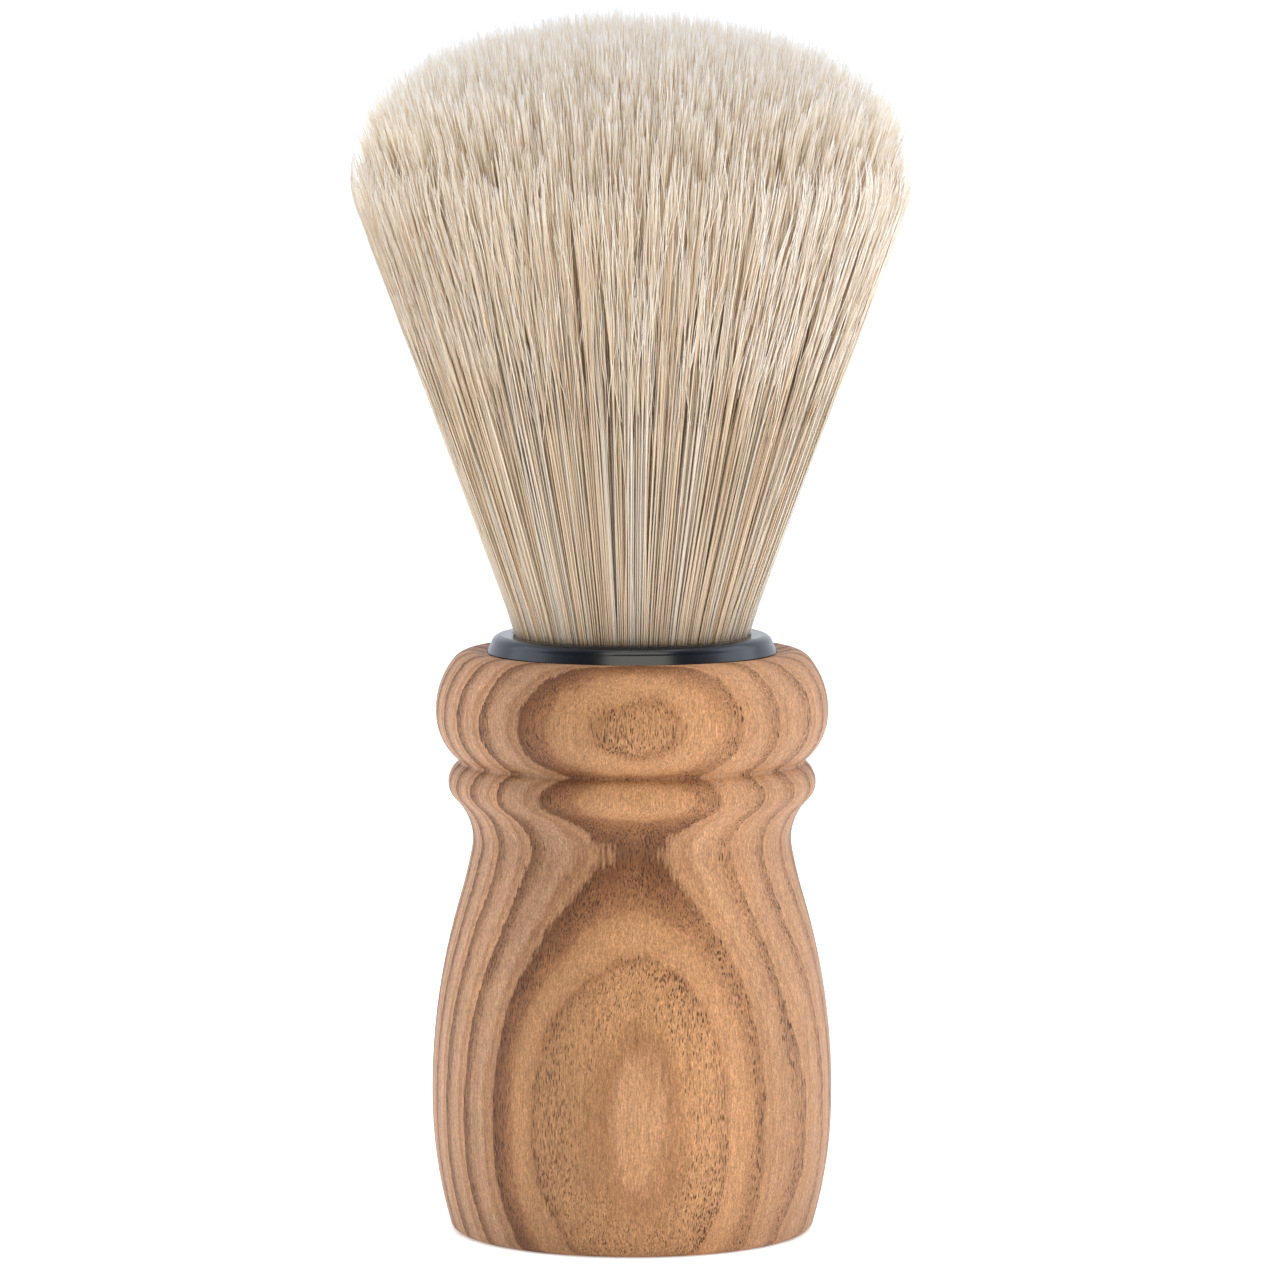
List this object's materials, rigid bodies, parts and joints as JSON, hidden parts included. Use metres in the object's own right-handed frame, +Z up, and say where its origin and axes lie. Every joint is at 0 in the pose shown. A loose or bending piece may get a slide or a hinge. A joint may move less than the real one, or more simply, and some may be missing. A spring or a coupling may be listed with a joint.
{
  "type": "shaving brush",
  "caption": "Shaving brush: turned ash handle with two beads and a waist, black collar, and a fanned dome of pale boar bristles that bends and springs back.",
  "frame": {"origin": "middle of the flat foot, on the turning axis", "axes": "+Z up along the turning axis, from the foot to the bristle tips; +Y away from the viewer, +X to the viewer's right"},
  "size_m": [0.0498, 0.0498, 0.1085],
  "materials": {
    "ash_wood": "turned, sanded and oiled, matte, open pores",
    "black_plastic": "moulded, satin",
    "glue": "cured adhesive",
    "casting_resin": "cast, clear amber",
    "twine": "waxed cotton twine",
    "bristles": "bleached boar bristle with split pale tips"
  },
  "bodies": {
    "brush_handle": {"handle": "ash_wood", "collar": "black_plastic", "bedding_glue": "glue", "resin_plug": "casting_resin", "binding_twine": "twine", "bristle_roots": "bristles"},
    "bristles_lower": {"bristle_flex_zone": "bristles"},
    "bristles_upper": {"bristle_head": "bristles"}
  },
  "joints": [
    {"name": "bristles_bend_sideways", "type": "hinge", "parent": "brush_handle", "child": "bristles_lower", "pos_m": [0, 0, 0.06], "axis": [0, 1, 0], "range_deg": [-25, 25], "stiffness_Nm_per_rad": 0.19, "deforming": ["bristle_flex_zone"]},
    {"name": "bristles_bend_forwards", "type": "hinge", "parent": "bristles_lower", "child": "bristles_upper", "pos_m": [0, 0, 0.074], "axis": [1, 0, 0], "range_deg": [-25, 25], "stiffness_Nm_per_rad": 0.19, "deforming": ["bristle_flex_zone"]}
  ]
}
